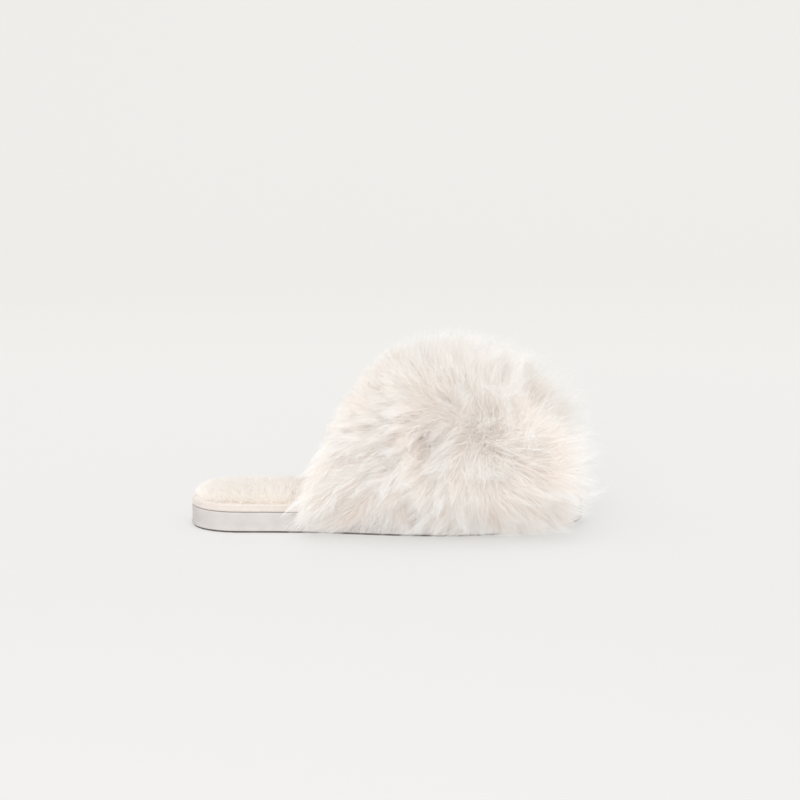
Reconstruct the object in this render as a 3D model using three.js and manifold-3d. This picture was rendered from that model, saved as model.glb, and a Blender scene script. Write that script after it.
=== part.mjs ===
// Fluffy cross-strap house slipper for the right foot, in millimetres.
// +Z is up, the toe points along +X, the medial side is +Y and the lateral side is -Y.
import * as THREE from 'three';
import { mergeVertices } from 'three/addons/utils/BufferGeometryUtils.js';
import Module from 'manifold-3d';

const wasm = await Module();
wasm.setup();

// ---- driving dimensions -------------------------------------------------------------------

const GAP = 0.3; // left between neighbouring pieces
const CROWN_GAP = 0.6; // between the two domed footbed layers

const SOLE_LENGTH = 255;
const HEEL_HALF_WIDTH = 33;
const BALL_HALF_WIDTH = 45;
const HEEL_ROUND = 35; // length over which the heel end rounds off
const TOE_ROUND = 80;
const ROUND_POWER = 2.25;
const END_FLAT = 1.006; // above 1, so the rounded ends stop at a short flat
const BODY_WIDENS = [75, 172]; // from the heel's width to the ball's
const TOE_SHIFT = 5; // of the centreline, towards the medial side
const TOE_SHIFT_SPAN = [120, 245];
const WAIST_SHIFT = -1.5;
const WAIST_SPAN = [45, 105, 170]; // the waist's shift begins, is greatest, and ends
const SPRING_START = 165; // the toe lifts off the floor from here
const TOE_SPRING = 3;

const OUTSOLE_TOP = 2;
const OUTSOLE_TAPER = 0.7; // the outsole's walls lean in towards the floor by this
const MIDSOLE_TOP = 13.3;
const MIDSOLE_ROUND = 0.8; // how far its walls roll in at top and bottom
const BINDING_TOP = 18.6;
const BINDING_WALL = 0.8;
const BINDING_LIP = 5;
const BINDING_INSET = 0.6;
const BINDING_ROUND = 1.2; // corner size of its section, outside
const BOARD_THICKNESS = 1.2;
const FOAM_EDGE = 1.1;
const FOAM_CROWN = 3;
const PLUSH_EDGE = 2.2;
const PLUSH_CROWN = 3.3;
const PLUSH_ROUND = 1.2; // how far the plush cover's edge leans in at its top
const CROWN_START = 6.5; // distance from the edge where the footbed starts to dome
const CROWN_END = 26;

const GROOVE_DEPTH = 0.9;
const GROOVE_WIDTH = 2.2;
const GROOVE_PITCH = 9;
const GROOVE_SWEEP = 7; // how far each chevron's point leads its ends
const TREAD_RIM = 8;
const CUTTER_HEIGHT = 4; // of the tools that cut the grooves
const TREAD_ZONES = [[18, 90], [134, 234]];

const SHELL_CLEARANCE = 1; // between the sole's edge and a strap's lining
const LINING = 0.9;
const STRAP_FOAM = 2;
const GROUND = 0.9;
const PRESSED_PILE = 1.6; // the lower strap's fur where the upper strap presses on it
const CROSSING_RAMP = 14; // over which the upper strap climbs onto the lower one
const ARCH_TOP = 82; // inside height of the straps above the floor, at the instep
const ARCH_FRONT = 50; // and at their front edge
const ARCH_FALL_START = 132; // where the instep starts to slope down to the toes
const ARCH_FALL_POWER = 1.6;
const FRONT_DROOP = 0.35; // slope of the fur that reaches past the front edge
const ARCH_POWER = 0.86; // below 1 makes the arch fuller than an ellipse
const REAR_END = [90, 138]; // where a strap's rear end meets the sole, from and to
const FRONT_END = [166, 228];
const MARGIN_DEPTH = 14; // of the lining tucked in over the midsole
const MARGIN_BOTTOM = 12.3;
const MARGIN_STEPS = 8;
const POCKET_OUT = 6; // the tools for the margins' pockets reach past the midsole's side
const POCKET_UP = 2; // and past its top

const PILE_GAP = 2; // between the two straps' fur
const PILE_DEPTH = 38;
const PILE_EDGE_DEPTH = 17;
const PILE_HEM_DEPTH = 9;
const PILE_OVERHANG = 28; // past a strap's front and rear edges, at the skin
const PILE_LEAN = 0.95; // how far the outer fur leans over those edges
const PILE_HEM = 2; // height of the hanging fur's lower edge above the floor
const PILE_HEM_SHARE = 0.2; // share of a strap's length over which the fur thins to its hem
const HEM_LEAN = 0.4; // share of the lean left at the hem
const DROP = 100; // millimetres down for each unit of t past the straps' ends
const SIDE_POWERS = [3, 0.8]; // roundness of the fur's section across a strap
const STRAP_TRIM = 0.03; // share of a strap's length that its foam and cloth stop short by

const SOLE_STEPS = 36; // mesh steps from heel to toe
const ALONG_STEPS = 22; // over a strap's length
const ACROSS_STEPS = 7; // and over its width
const EDGE_STEPS = 2; // more steps where fur reaches past the strap
const MIDSOLE_LAYERS = 4;
const FOOTBED_STRIPS = 6;
const BINDING_TURNS = 68; // mesh steps round the footbed's edge

// ---- small helpers ------------------------------------------------------------------------

const { clamp, lerp, smoothstep } = THREE.MathUtils;

function toManifold(geometry) {
  const mesh = new wasm.Mesh({
    numProp: 3,
    vertProperties: new Float32Array(geometry.getAttribute('position').array),
    triVerts: new Uint32Array(geometry.index.array),
  });
  return new wasm.Manifold(mesh);
}

function fromManifold(solid) {
  const mesh = solid.getMesh();
  const geometry = new THREE.BufferGeometry();
  geometry.setAttribute('position', new THREE.BufferAttribute(mesh.vertProperties, 3));
  geometry.setIndex(new THREE.BufferAttribute(mesh.triVerts, 1));
  return geometry;
}

function signedVolume(geometry) {
  const at = geometry.getAttribute('position');
  const order = geometry.index.array;
  const [a, b, c] = [new THREE.Vector3(), new THREE.Vector3(), new THREE.Vector3()];
  let volume = 0;
  for (let i = 0; i < order.length; i += 3) {
    a.fromBufferAttribute(at, order[i]);
    b.fromBufferAttribute(at, order[i + 1]);
    c.fromBufferAttribute(at, order[i + 2]);
    volume += a.dot(b.cross(c)) / 6;
  }
  return volume;
}

// One closed body: shared vertices merged and faces pointing out.
function closedBody(geometry) {
  geometry.deleteAttribute('normal');
  geometry.deleteAttribute('uv');
  const merged = mergeVertices(geometry, 1e-4);
  if (signedVolume(merged) < 0) {
    merged.index.array.reverse();
  }
  return merged;
}

// Splits the box's underside along the same diagonals as its top, so that the facets of
// stacked curved layers stay parallel.
function matchUnderside(box) {
  const underside = box.groups[5];
  const order = box.index.array;
  for (let i = underside.start; i < underside.start + underside.count; i += 6) {
    const [a, b, d, , c] = order.slice(i, i + 6);
    order.set([a, b, c, a, c, d], i);
  }
}

// A box of unit size whose every vertex (u, v, w from 0 to 1) is moved to place(u, v, w).
function mappedBlock([nu, nv, nw], place) {
  const geometry = new THREE.BoxGeometry(1, 1, 1, nu, nv, nw);
  matchUnderside(geometry);
  const at = geometry.getAttribute('position');
  for (let i = 0; i < at.count; i += 1) {
    const spot = place(at.getX(i) + 0.5, at.getY(i) + 0.5, at.getZ(i) + 0.5);
    at.setXYZ(i, spot.x, spot.y, spot.z);
  }
  return closedBody(geometry);
}

function subtract(geometry, cutters) {
  const solid = cutters.reduce((rest, cutter) => rest.subtract(toManifold(cutter)), toManifold(geometry));
  return fromManifold(solid);
}

function join(geometries) {
  const [first, ...others] = geometries.map(toManifold);
  return fromManifold(others.reduce((sum, other) => sum.add(other), first));
}

// ---- the sole's plan and its layers -------------------------------------------------------

const LATERAL = -1;
const MEDIAL = 1;

function springAt(x) {
  const lift = Math.max(0, x - SPRING_START) / (SOLE_LENGTH - SPRING_START);
  return TOE_SPRING * Math.min(lift, 1) ** 2;
}

function centreAt(x) {
  const [waistStart, waist, waistEnd] = WAIST_SPAN;
  const towardsToe = TOE_SHIFT * smoothstep(x, ...TOE_SHIFT_SPAN);
  const atWaist = smoothstep(x, waistStart, waist) * (1 - smoothstep(x, waist, waistEnd));
  return towardsToe + WAIST_SHIFT * atWaist;
}

function roundedEnd(distance, length) {
  const short = Math.max(0, length - distance) / (length * END_FLAT);
  return (1 - short ** ROUND_POWER) ** (1 / ROUND_POWER);
}

function halfWidthAt(x) {
  const body = lerp(HEEL_HALF_WIDTH, BALL_HALF_WIDTH, smoothstep(x, ...BODY_WIDENS));
  return body * roundedEnd(x, HEEL_ROUND) * roundedEnd(SOLE_LENGTH - x, TOE_ROUND);
}

// A point on one side of the sole's plan; u runs from heel to toe, crowded at both ends.
function edgePoint(u, side) {
  const x = (SOLE_LENGTH * (1 - Math.cos(Math.PI * u))) / 2;
  return new THREE.Vector2(x, centreAt(x) + side * halfWidthAt(x));
}

// The same point moved inwards, square to the edge.
function insetPoint(u, side, inset) {
  const step = 0.004;
  const along = edgePoint(Math.min(u + step, 1), side).sub(edgePoint(Math.max(u - step, 0), side));
  const inward = new THREE.Vector2(along.y, -along.x).normalize().multiplyScalar(side * inset);
  return edgePoint(u, side).add(inward);
}

// A layer of the sole: insetAt(w) and heightAt(w, distance from the edge) shape it.
function soleLayer(segments, insetAt, heightAt) {
  return mappedBlock(segments, (u, v, w) => {
    const inset = insetAt(w);
    const lateral = insetPoint(u, LATERAL, inset);
    const medial = insetPoint(u, MEDIAL, inset);
    const spot = lateral.clone().lerp(medial, v);
    const across = Math.min(v, 1 - v) * lateral.distanceTo(medial);
    const along = Math.min(spot.x, SOLE_LENGTH - spot.x);
    const z = heightAt(w, Math.min(across + inset, along)) + springAt(spot.x);
    return new THREE.Vector3(spot.x, spot.y, z);
  });
}

function crownAt(distance) {
  return smoothstep(distance, CROWN_START, CROWN_END);
}

function chevronGroove(x) {
  const reach = halfWidthAt(x) - TREAD_RIM;
  const outline = new THREE.Shape();
  outline.moveTo(-GROOVE_WIDTH / 2, reach);
  outline.lineTo(GROOVE_SWEEP - GROOVE_WIDTH / 2, 0);
  outline.lineTo(-GROOVE_WIDTH / 2, -reach);
  outline.lineTo(GROOVE_WIDTH / 2, -reach);
  outline.lineTo(GROOVE_SWEEP + GROOVE_WIDTH / 2, 0);
  outline.lineTo(GROOVE_WIDTH / 2, reach);
  const cutter = new THREE.ExtrudeGeometry(outline, { depth: CUTTER_HEIGHT, bevelEnabled: false });
  cutter.translate(x, centreAt(x), springAt(x) + GROOVE_DEPTH - CUTTER_HEIGHT);
  return closedBody(cutter);
}

function outsoleGeometry() {
  const sheet = soleLayer(
    [SOLE_STEPS, 2, 2],
    (w) => OUTSOLE_TAPER * (1 - w),
    (w) => OUTSOLE_TOP * w,
  );
  const grooves = [];
  for (const [from, to] of TREAD_ZONES) {
    for (let x = from; x <= to; x += GROOVE_PITCH) {
      grooves.push(chevronGroove(x));
    }
  }
  return subtract(sheet, grooves);
}

// A strap's margin, tucked in over the midsole, is a flat block between two heights. Both it
// and the tool for its pocket are this block; room is left all round, and out past the side.
function sideBlock([from, to], side, [bottom, top], room, out) {
  return mappedBlock([MARGIN_STEPS, 1, 1], (u, v, w) => {
    const x = lerp(from - room, to + room, u);
    const edge = halfWidthAt(x) + SHELL_CLEARANCE + LINING / 2 + out;
    const inner = halfWidthAt(x) - MARGIN_DEPTH - room;
    const y = centreAt(x) + side * lerp(inner, edge, side === MEDIAL ? v : 1 - v);
    return new THREE.Vector3(x, y, lerp(bottom, top, w) + springAt(x));
  });
}

function marginBlock(end, side) {
  return sideBlock(end, side, [MARGIN_BOTTOM, MARGIN_BOTTOM + LINING], 0, 0);
}

function pocketBlock(end, side) {
  const room = 2 * GAP;
  return sideBlock(end, side, [MARGIN_BOTTOM - room, MIDSOLE_TOP + POCKET_UP], room, POCKET_OUT);
}

function midsoleGeometry() {
  const bottom = OUTSOLE_TOP + GAP;
  const wedge = soleLayer(
    [SOLE_STEPS, 2, MIDSOLE_LAYERS],
    (w) => MIDSOLE_ROUND * (2 * w - 1) ** 4,
    (w) => lerp(bottom, MIDSOLE_TOP, w),
  );
  const pockets = [];
  for (const side of [LATERAL, MEDIAL]) {
    for (const end of [REAR_END, FRONT_END]) {
      pockets.push(pocketBlock(end, side));
    }
  }
  return subtract(wedge, pockets);
}

const BOARD_BOTTOM = MIDSOLE_TOP + GAP + BINDING_WALL + GAP;
const STACK_INSET = BINDING_INSET + BINDING_WALL + BINDING_ROUND / 2 + GAP;
const FOAM_BOTTOM = BOARD_BOTTOM + BOARD_THICKNESS + GAP;

function boardGeometry() {
  return soleLayer([SOLE_STEPS, 2, 1], () => STACK_INSET, (w) => BOARD_BOTTOM + BOARD_THICKNESS * w);
}

function foamHeight(w, distance) {
  return FOAM_BOTTOM + w * (FOAM_EDGE + FOAM_CROWN * crownAt(distance));
}

function footbedFoamGeometry() {
  return soleLayer([SOLE_STEPS, FOOTBED_STRIPS, 1], () => STACK_INSET, foamHeight);
}

function plushCoverGeometry() {
  const inset = BINDING_INSET + BINDING_LIP + GAP;
  return soleLayer([SOLE_STEPS, FOOTBED_STRIPS, 1], (w) => inset + PLUSH_ROUND * w, (w, distance) => {
    const bottom = foamHeight(1, distance) + CROWN_GAP;
    return bottom + w * lerp(PLUSH_EDGE, PLUSH_CROWN, crownAt(distance));
  });
}

// The binding is a strip of C section swept round the footbed's edge: a lathe profile that
// closes on itself, whose turns are laid along the sole's plan.
function bindingGeometry() {
  const turns = BINDING_TURNS;
  const half = turns / 2;
  const radius = SOLE_LENGTH / 2; // of the lathe before it is laid out; radius - r is the inset
  const [low, high] = [MIDSOLE_TOP + GAP, BINDING_TOP];
  const [wall, round] = [BINDING_WALL, BINDING_ROUND];
  const innerRound = round / 2;
  const section = [
    [BINDING_LIP, low],
    [round, low],
    [0, low + round],
    [0, high - round],
    [round, high],
    [BINDING_LIP, high],
    [BINDING_LIP, high - wall],
    [wall + innerRound, high - wall],
    [wall, high - wall - innerRound],
    [wall, low + wall + innerRound],
    [wall + innerRound, low + wall],
    [BINDING_LIP, low + wall],
  ];
  section.push(section[0]);
  const profile = section.map(([inset, z]) => new THREE.Vector2(radius - BINDING_INSET - inset, z));
  const geometry = new THREE.LatheGeometry(profile, turns);
  const at = geometry.getAttribute('position');
  for (let i = 0; i < at.count; i += 1) {
    const angle = Math.atan2(at.getX(i), at.getZ(i));
    const turn = (Math.round((angle / (2 * Math.PI)) * turns) + turns) % turns;
    const side = turn < half ? LATERAL : MEDIAL;
    const u = turn < half ? turn / (half - 1) : 1 - (turn - half) / (half - 1);
    const spot = insetPoint(u, side, radius - Math.hypot(at.getX(i), at.getZ(i)));
    at.setXYZ(i, spot.x, spot.y, at.getY(i) + springAt(spot.x));
  }
  return closedBody(geometry);
}

// ---- the straps ---------------------------------------------------------------------------

const FOAM_START = LINING + GAP;
const GROUND_START = FOAM_START + STRAP_FOAM + GAP;
const GROUND_END = GROUND_START + GROUND;
const PILE_START = GROUND_END + GAP;
const CROSSING_LIFT = PILE_START + PRESSED_PILE + GAP;

const under = {
  rear: (t) => lerp(REAR_END[0], FRONT_END[0], t),
  front: (t) => lerp(REAR_END[1], FRONT_END[1], t),
  lift: () => 0,
};

const over = {
  rear: (t) => lerp(FRONT_END[0], REAR_END[0], t),
  front: (t) => lerp(FRONT_END[1], REAR_END[1], t),
  lift: (x, t) => {
    const t0 = clamp(t, 0, 1);
    const inside = Math.min(x - under.rear(t0), under.front(t0) - x);
    return CROSSING_LIFT * smoothstep(inside, -CROSSING_RAMP, 0);
  },
};

function archTopAt(x) {
  const front = FRONT_END[1];
  const fall = clamp((x - ARCH_FALL_START) / (front - ARCH_FALL_START), 0, 1);
  const droop = FRONT_DROOP * Math.max(0, x - front);
  return ARCH_TOP - (ARCH_TOP - ARCH_FRONT) * fall ** ARCH_FALL_POWER - droop;
}

// The surface that the straps' linings lie on; t runs over the foot from lateral to medial.
// Below t = 0 and above t = 1 it goes straight down past the sole's side.
function instepPoint(x, t) {
  const t0 = clamp(t, 0, 1);
  const plan = clamp(x, REAR_END[0], FRONT_END[1]);
  const angle = Math.PI * t0;
  const half = halfWidthAt(plan) + SHELL_CLEARANCE;
  const cos = Math.cos(angle);
  const out = half * Math.sign(cos) * Math.abs(cos) ** ARCH_POWER;
  const rise = (archTopAt(x) - MARGIN_BOTTOM) * Math.sin(angle) ** ARCH_POWER;
  const below = Math.max(0, -t, t - 1) * DROP;
  return new THREE.Vector3(x, centreAt(plan) - out, MARGIN_BOTTOM + springAt(x) + rise - below);
}

function instepNormal(x, t) {
  const t0 = clamp(t, 0.01, 0.99);
  const along = instepPoint(x, t0 + 0.01).sub(instepPoint(x, t0 - 0.01));
  const forward = instepPoint(x + 1, t0).sub(instepPoint(x - 1, t0));
  return forward.cross(along).normalize();
}

// A layer of a strap between two heights above the instep.
function shellGeometry(strap, from, to, endTrim) {
  return mappedBlock([ACROSS_STEPS, ALONG_STEPS, 1], (u, v, w) => {
    const t = clamp(v, endTrim, 1 - endTrim);
    const x = lerp(strap.rear(t), strap.front(t), u);
    const offset = lerp(from, to, w) + strap.lift(x, t);
    return instepPoint(x, t).addScaledVector(instepNormal(x, t), offset);
  });
}

function liningGeometry(strap, lateralEnd, medialEnd) {
  return join([
    shellGeometry(strap, 0, LINING, 0),
    marginBlock(lateralEnd, LATERAL),
    marginBlock(medialEnd, MEDIAL),
  ]);
}

// From 0 to 1 over a strap, on the same mesh lines as its shells, and past both by up to beyond.
function pastEnds(share, steps, beyond) {
  const line = share * (steps + 2 * EDGE_STEPS) - EDGE_STEPS;
  const outside = Math.max(0, -line, line - steps) / EDGE_STEPS;
  return clamp(line / steps, 0, 1) + Math.sign(line) * outside * beyond;
}

// The fur as one plain soft body: thick over the strap, thinning and leaning over its edges,
// and hanging past the sole's side at both ends. inner is where it starts above the instep,
// and grow widens it all round, for the room that the whole strap takes.
function pileGeometry(strap, inner, grow) {
  const low = PILE_HEM - 2 * grow;
  const hang = (MARGIN_BOTTOM - low) / DROP;
  const steps = [ACROSS_STEPS + 2 * EDGE_STEPS, ALONG_STEPS + 2 * EDGE_STEPS, 2];
  const [sidePower, middlePower] = SIDE_POWERS;
  return mappedBlock(steps, (u, v, w) => {
    const t = pastEnds(v, ALONG_STEPS, hang);
    const t0 = clamp(t, 0, 1);
    const width = strap.front(t0) - strap.rear(t0);
    const x = strap.rear(t0) + width * pastEnds(u, ACROSS_STEPS, (PILE_OVERHANG + grow) / width);
    const normal = instepNormal(x, t);
    const skin = instepPoint(x, t).addScaledVector(normal, inner + strap.lift(x, t));
    const side = 2 * u - 1;
    const hem = smoothstep(Math.min(v, 1 - v), 0, PILE_HEM_SHARE);
    const middle = (1 - Math.abs(side) ** sidePower) ** middlePower;
    const full = lerp(PILE_EDGE_DEPTH, PILE_DEPTH, middle);
    const depth = lerp(PILE_HEM_DEPTH, full, hem) + PILE_START - inner + grow;
    const lean = PILE_LEAN * side * Math.abs(side) * lerp(HEM_LEAN, 1, hem);
    const direction = normal.add(new THREE.Vector3(lean, 0, 0)).normalize();
    const spot = skin.addScaledVector(direction, w * depth);
    spot.z = Math.max(spot.z, low);
    return spot;
  });
}

// ---- the assembly -------------------------------------------------------------------------

function piece(name, geometry, color, roughness) {
  const mesh = new THREE.Mesh(geometry, new THREE.MeshStandardMaterial({ color, roughness, metalness: 0 }));
  mesh.name = name;
  return mesh;
}

function soleGroup() {
  const group = new THREE.Group();
  group.add(
    piece('outsole', outsoleGeometry(), 0x2b2a2c, 0.85),
    piece('midsole', midsoleGeometry(), 0xded8d4, 0.7),
    piece('insole_board', boardGeometry(), 0xb59a78, 0.9),
    piece('footbed_foam', footbedFoamGeometry(), 0xf3efe4, 0.9),
    piece('footbed_plush_cover', plushCoverGeometry(), 0xf9e9da, 0.95),
    piece('footbed_binding', bindingGeometry(), 0xf0e6dc, 0.8),
  );
  return group;
}

function strapGroup(name, strap, lateralEnd, medialEnd, pile) {
  const group = new THREE.Group();
  const foam = shellGeometry(strap, FOAM_START, FOAM_START + STRAP_FOAM, STRAP_TRIM);
  const ground = shellGeometry(strap, GROUND_START, GROUND_END, STRAP_TRIM);
  group.add(
    piece(`${name}_lining`, liningGeometry(strap, lateralEnd, medialEnd), 0xf1e4d8, 0.9),
    piece(`${name}_foam`, foam, 0xeceadf, 0.9),
    piece(`${name}_ground`, ground, 0xe3d3c3, 0.95),
    piece(`${name}_pile`, pile, 0xefe6dd, 0.95),
  );
  return group;
}

function slipper() {
  const overPile = pileGeometry(over, PILE_START, 0);
  const underPile = subtract(pileGeometry(under, PILE_START, 0), [pileGeometry(over, -GAP, PILE_GAP)]);
  const model = new THREE.Group();
  model.add(
    soleGroup(),
    strapGroup('strap_under', under, REAR_END, FRONT_END, underPile),
    strapGroup('strap_over', over, FRONT_END, REAR_END, overPile),
  );
  const box = new THREE.Box3().setFromObject(model);
  const middle = box.getCenter(new THREE.Vector3());
  model.position.set(-middle.x, -middle.y, -box.min.z);
  const root = new THREE.Group();
  root.add(model);
  return root;
}

export default slipper();
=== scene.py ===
"""Fluffy cross-strap house slipper for the right foot: the fine model over its CAD frame."""

import math

import bpy
import numpy as np
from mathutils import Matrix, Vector
from mathutils.kdtree import KDTree


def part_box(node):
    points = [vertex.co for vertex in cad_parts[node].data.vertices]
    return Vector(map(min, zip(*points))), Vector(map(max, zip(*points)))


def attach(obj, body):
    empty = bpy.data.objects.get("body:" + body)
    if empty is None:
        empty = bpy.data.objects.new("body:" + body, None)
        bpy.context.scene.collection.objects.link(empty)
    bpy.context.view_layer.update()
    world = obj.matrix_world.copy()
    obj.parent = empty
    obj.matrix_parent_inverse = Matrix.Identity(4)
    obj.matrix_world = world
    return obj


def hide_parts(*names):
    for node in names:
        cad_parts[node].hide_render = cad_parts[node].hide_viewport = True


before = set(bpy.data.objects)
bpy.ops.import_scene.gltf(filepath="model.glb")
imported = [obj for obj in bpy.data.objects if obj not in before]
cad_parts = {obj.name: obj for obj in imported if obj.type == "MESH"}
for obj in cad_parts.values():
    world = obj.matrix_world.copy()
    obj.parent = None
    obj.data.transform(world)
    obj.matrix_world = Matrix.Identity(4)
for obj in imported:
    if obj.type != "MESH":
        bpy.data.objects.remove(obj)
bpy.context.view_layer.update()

MM = 0.001  # every size below is in millimetres, in the sole's own frame: x = 0 at the heel

# ---- driving dimensions, as in the CAD ----

SOLE_LENGTH = 255.0
HEEL_HALF_WIDTH = 33.0
BALL_HALF_WIDTH = 45.0
HEEL_ROUND = 35.0
TOE_ROUND = 80.0
ROUND_POWER = 2.25
END_FLAT = 1.006
BODY_WIDENS = (75.0, 172.0)  # from the heel's width to the ball's
TOE_SHIFT = 5.0
TOE_SHIFT_SPAN = (120.0, 245.0)
WAIST_SHIFT = -1.5
WAIST_SPAN = (45.0, 105.0, 170.0)
SPRING_START = 165.0
TOE_SPRING = 3.0

MIDSOLE_BOTTOM = 2.3
MIDSOLE_TOP = 13.3
PLUSH_BOTTOM = 17.9
CROWN_START = 6.5
CROWN_END = 26.0

REAR_END = (90.0, 138.0)
FRONT_END = (166.0, 228.0)
MARGIN_DEPTH = 14.0
MARGIN_BOTTOM = 12.3
ARCH_TOP = 82.0
ARCH_FRONT = 50.0
ARCH_FALL_START = 132.0
ARCH_FALL_POWER = 1.6
ARCH_POWER = 0.86
FRONT_DROOP = 0.35
SHELL_CLEARANCE = 1.0
LINING = (0.0, 0.9)  # offsets of a strap's layers from the instep surface
STRAP_FOAM = (1.2, 3.2)
GROUND = (3.5, 4.4)
CROSSING_LIFT = 6.6
CROSSING_RAMP = 14.0
DROP = 100.0

# ---- small helpers ----


def smooth(x, low, high):
    """0 below low, 1 above high, and an even S between them."""
    share = np.clip((x - low) / (high - low), 0, 1)
    return share * share * (3 - 2 * share)


def unit(vectors):
    return vectors / np.maximum(np.linalg.norm(vectors, axis=-1, keepdims=True), 1e-9)


def mix(a, b, share):
    return a + (b - a) * share


def bell(x, middle, width):
    """1 at the middle, falling off evenly to both sides."""
    return np.exp(-(((x - middle) / width) ** 2))


# ---- the sole's plan ----


def spring_at(x):
    lift = np.clip((x - SPRING_START) / (SOLE_LENGTH - SPRING_START), 0, 1)
    return TOE_SPRING * lift**2


def centre_at(x):
    start, waist, end = WAIST_SPAN
    at_waist = smooth(x, start, waist) * (1 - smooth(x, waist, end))
    return TOE_SHIFT * smooth(x, *TOE_SHIFT_SPAN) + WAIST_SHIFT * at_waist


def rounded_end(distance, length):
    short = np.maximum(0, length - distance) / (length * END_FLAT)
    return (1 - short**ROUND_POWER) ** (1 / ROUND_POWER)


def half_width_at(x):
    """Half the sole's width, with its rounded heel and toe."""
    x = np.clip(x, 0, SOLE_LENGTH)
    body = mix(HEEL_HALF_WIDTH, BALL_HALF_WIDTH, smooth(x, *BODY_WIDENS))
    return body * rounded_end(x, HEEL_ROUND) * rounded_end(SOLE_LENGTH - x, TOE_ROUND)


def edge_point(u, side):
    x = SOLE_LENGTH * (1 - np.cos(np.pi * u)) / 2
    return np.stack([x, centre_at(x) + side * half_width_at(x)], -1)


def inset_point(u, side, inset):
    step = 0.004
    along = edge_point(np.minimum(u + step, 1), side) - edge_point(np.maximum(u - step, 0), side)
    inward = unit(np.stack([along[..., 1], -along[..., 0]], -1)) * np.expand_dims(side, -1)
    return edge_point(u, side) + inward * np.expand_dims(inset, -1)


def sole_loop(count, inset):
    """The sole's outline moved inwards, as a closed loop from the heel along the lateral side."""
    half = count // 2
    u = np.concatenate([np.linspace(0, 1, half), np.linspace(1, 0, half)])
    side = np.repeat([-1.0, 1.0], half)
    return inset_point(u, side, np.full(count, float(inset)))


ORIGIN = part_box("outsole")[0] / MM  # the sole's own corner in the row frame
SAMPLE = np.linspace(0, SOLE_LENGTH, 2000)
SHIFT = np.array([ORIGIN.x, ORIGIN.y - (centre_at(SAMPLE) - half_width_at(SAMPLE)).min(), 0.0])


def to_row(points):
    """Sole millimetres to metres in the row frame."""
    return (np.asarray(points, float) + SHIFT) * MM


# ---- the straps' surface ----


def arch_top_at(x):
    front = FRONT_END[1]
    fall = np.clip((x - ARCH_FALL_START) / (front - ARCH_FALL_START), 0, 1)
    droop = FRONT_DROOP * np.maximum(0, x - front)
    return ARCH_TOP - (ARCH_TOP - ARCH_FRONT) * fall**ARCH_FALL_POWER - droop


def instep_point(x, t):
    """A point of the surface the linings lie on: t runs over the foot, lateral 0 to medial 1."""
    t0 = np.clip(t, 0, 1)
    plan = np.clip(x, REAR_END[0], FRONT_END[1])
    half = half_width_at(plan) + SHELL_CLEARANCE
    cos, sin = np.cos(np.pi * t0), np.maximum(np.sin(np.pi * t0), 0)
    out = half * np.sign(cos) * np.abs(cos) ** ARCH_POWER
    rise = (arch_top_at(x) - MARGIN_BOTTOM) * sin**ARCH_POWER
    below = np.maximum(np.maximum(-t, t - 1), 0) * DROP
    return np.stack([x, centre_at(plan) - out, MARGIN_BOTTOM + spring_at(x) + rise - below], -1)


def instep_frame(x, t):
    """Unit vectors forwards, along the strap towards the medial side, and outwards."""
    t0 = np.clip(t, 0.01, 0.99)
    forward = unit(instep_point(x + 1, t0) - instep_point(x - 1, t0))
    along = unit(instep_point(x, t0 + 0.01) - instep_point(x, t0 - 0.01))
    normal = unit(np.cross(forward, along))
    return forward, along, normal


class Strap:
    """One of the two crossing straps: where its edges run, and how far it is lifted."""

    def __init__(self, name, lateral, medial, lifted):
        self.name = name
        self.lateral, self.medial, self.lifted = lateral, medial, lifted

    def rear(self, t):
        return mix(self.lateral[0], self.medial[0], np.clip(t, 0, 1))

    def front(self, t):
        return mix(self.lateral[1], self.medial[1], np.clip(t, 0, 1))

    def inside(self, x, t):
        """How far a point lies inside the strap's edges; negative outside."""
        return np.minimum(x - self.rear(t), self.front(t) - x)

    def lift(self, x, t):
        if not self.lifted:
            return np.zeros(np.broadcast(x, t).shape)
        return CROSSING_LIFT * smooth(UNDER.inside(x, t), -CROSSING_RAMP, 0)

    def skin(self, x, t, offset):
        normal = instep_frame(x, t)[2]
        return instep_point(x, t) + normal * np.expand_dims(offset + self.lift(x, t), -1)


UNDER = Strap("strap_under", REAR_END, FRONT_END, False)
OVER = Strap("strap_over", FRONT_END, REAR_END, True)

# ---- meshes ----


def new_object(name, mesh, material):
    """A smooth-shaded piece that rides on the one body there is."""
    mesh.polygons.foreach_set("use_smooth", np.full(len(mesh.polygons), True))
    mesh.materials.append(material)
    piece = bpy.data.objects.new(name, mesh)
    bpy.context.scene.collection.objects.link(piece)
    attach(piece, "root")
    return piece


def surface_piece(name, points, faces, material):
    mesh = bpy.data.meshes.new(name)
    mesh.from_pydata(to_row(points).tolist(), [], faces)
    mesh.validate()
    return new_object(name, mesh, material)


def ring_faces(rows, count):
    """Quads between consecutive closed rings of count points."""
    faces = []
    for row in range(rows - 1):
        for i in range(count):
            j = (i + 1) % count
            a, b = row * count, (row + 1) * count
            faces.append((a + i, a + j, b + j, b + i))
    return faces


def tube_piece(name, rings, material):
    """A closed skin through a list of rings with the same number of points."""
    count = len(rings[0])
    last = (len(rings) - 1) * count
    faces = ring_faces(len(rings), count)
    faces.append(tuple(reversed(range(count))))
    faces.append(tuple(range(last, last + count)))
    return surface_piece(name, np.concatenate(rings), faces, material)


# ---- materials ----


def srgb(red, green, blue):
    """A colour as the eye reads it, 0 to 255, as the linear value that shaders take."""
    values = []
    for part in (red, green, blue):
        c = part / 255
        values.append(c / 12.92 if c <= 0.04045 else ((c + 0.055) / 1.055) ** 2.4)
    return (*values, 1.0)


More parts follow.
